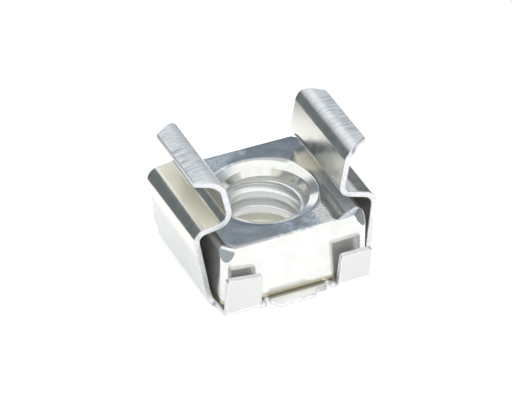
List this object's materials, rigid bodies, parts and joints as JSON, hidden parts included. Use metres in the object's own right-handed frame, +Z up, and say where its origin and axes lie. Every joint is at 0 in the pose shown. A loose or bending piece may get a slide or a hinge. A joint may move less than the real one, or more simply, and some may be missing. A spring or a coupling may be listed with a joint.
{
  "type": "rack cage nut",
  "caption": "Square nut held loosely in a folded spring-steel cage whose two ears clip into a square hole in a rack rail, giving it a threaded fixing point.",
  "frame": {"origin": "Middle of the whole part seen from above, on the underside of the base plate", "axes": "+X runs across the two ears, +Y towards the back, +Z up along the screw, from the base plate to the lips"},
  "size_m": [0.014, 0.014, 0.01],
  "materials": {
    "zinc_plated_spring_steel": "bright zinc plating on rolled sheet",
    "zinc_plated_nut_steel": "bright zinc plating on pressed steel"
  },
  "bodies": {
    "root": {"cage": "zinc_plated_spring_steel", "square_nut": "zinc_plated_nut_steel"}
  },
  "joints": []
}
